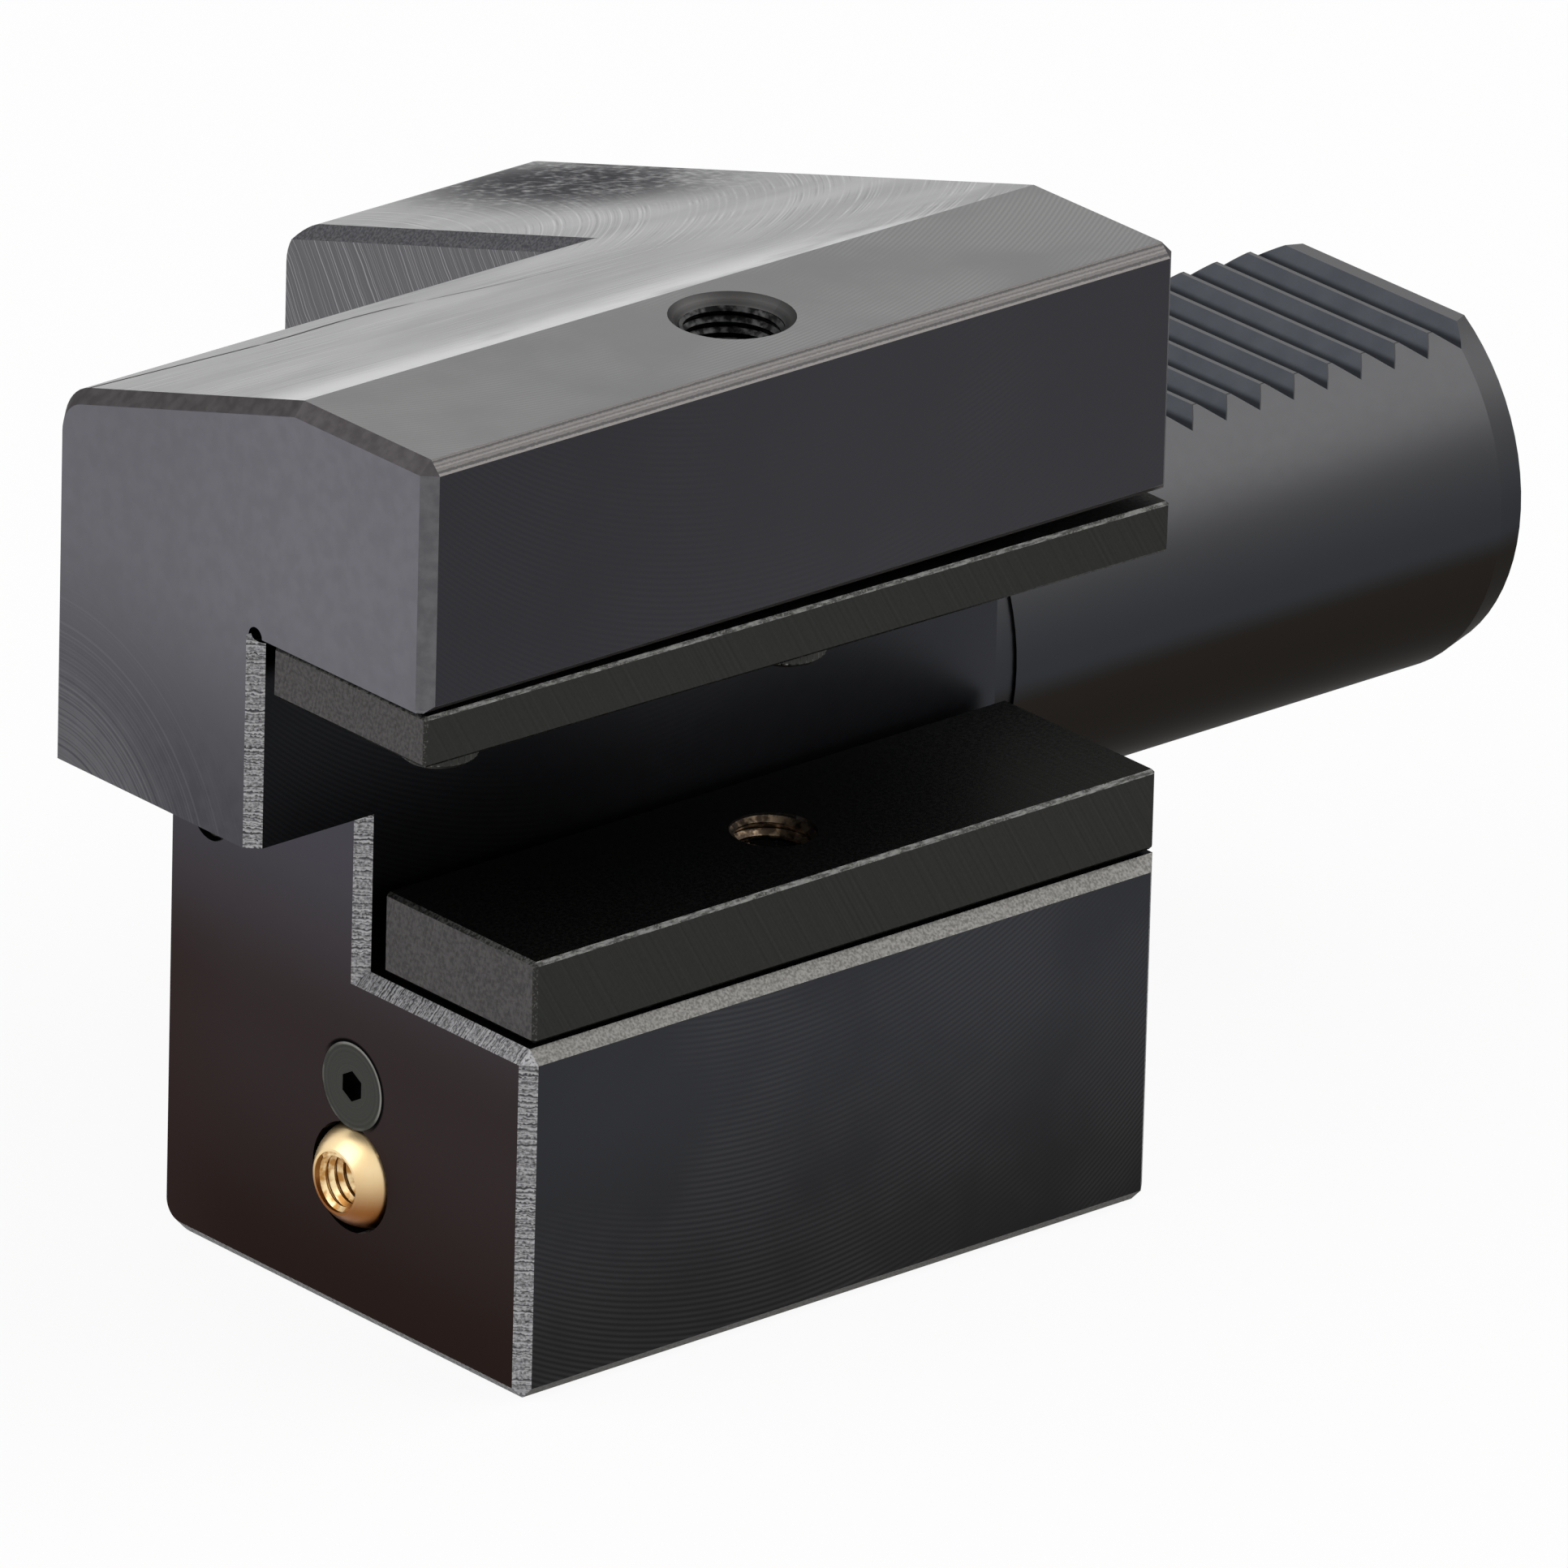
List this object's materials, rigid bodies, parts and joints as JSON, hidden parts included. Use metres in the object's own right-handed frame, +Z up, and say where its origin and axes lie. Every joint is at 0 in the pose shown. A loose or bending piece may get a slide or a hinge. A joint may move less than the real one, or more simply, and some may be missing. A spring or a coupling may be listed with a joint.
{
  "type": "axial tool holder",
  "caption": "Axial lathe tool holder with a serrated round shank, an open square-tool slot with clamping and shim plates, and a swivelling coolant nozzle.",
  "frame": {"origin": "shank axis at the flange face that rests on the turret", "axes": "+X along the shank out of the holder, +Z up, -Y out of the open side of the tool slot"},
  "size_m": [0.148, 0.0875, 0.0905],
  "materials": {
    "body_steel": "black oxide, ground",
    "plate_steel": "black oxide, hardened",
    "screw_steel": "black oxide",
    "spring_steel": "drawn wire",
    "brass": "turned",
    "rubber": "matte"
  },
  "bodies": {
    "holder": {"holder_body": "body_steel", "shim_plate": "plate_steel", "shim_screw_outer": "screw_steel", "shim_screw_inner": "screw_steel", "nozzle_retaining_screw": "screw_steel", "nozzle_seal": "rubber", "coolant_inlet_seal": "rubber", "end_channel_plug": "screw_steel", "rear_channel_plug": "screw_steel", "base_channel_plug": "screw_steel", "plate_return_spring": "spring_steel"},
    "clamp": {"clamping_plate": "plate_steel", "plate_retaining_screw": "screw_steel", "spring_washer": "screw_steel"},
    "outer_screw": {"clamp_screw_outer": "screw_steel"},
    "inner_screw": {"clamp_screw_inner": "screw_steel"},
    "nozzle_seat": {"nozzle_seat_ring": "brass"},
    "nozzle": {"ball_nozzle": "brass"}
  },
  "joints": [
    {"name": "plate_slide", "type": "slide", "parent": "holder", "child": "clamp", "axis": [0, 0, 1], "range_m": [-0.0004, 0.006], "deforming": ["plate_return_spring"]},
    {"name": "clamp_screw_outer_turn", "type": "hinge", "parent": "clamp", "child": "outer_screw", "pos_m": [-0.05865, -0.0316, -0.0393], "axis": [0, 0, 1], "range_deg": [-83, 1235]},
    {"name": "clamp_screw_inner_turn", "type": "hinge", "parent": "clamp", "child": "inner_screw", "pos_m": [-0.01265, -0.0316, -0.0393], "axis": [0, 0, 1], "range_deg": [-83, 1235]},
    {"name": "nozzle_swivel", "type": "hinge", "parent": "holder", "child": "nozzle_seat", "pos_m": [-0.0702, -0.0192, -0.0291], "axis": [1, 0, 0], "continuous": true},
    {"name": "nozzle_tilt", "type": "hinge", "parent": "nozzle_seat", "child": "nozzle", "pos_m": [-0.0702, -0.0192, -0.0291], "axis": [0, 1, 0], "range_deg": [-18, 18]}
  ],
  "couplings": [
    {"joint": "clamp_screw_outer_turn", "follows": "plate_slide", "rad_per_m": 3590.4},
    {"joint": "clamp_screw_inner_turn", "follows": "plate_slide", "rad_per_m": 3590.4}
  ]
}
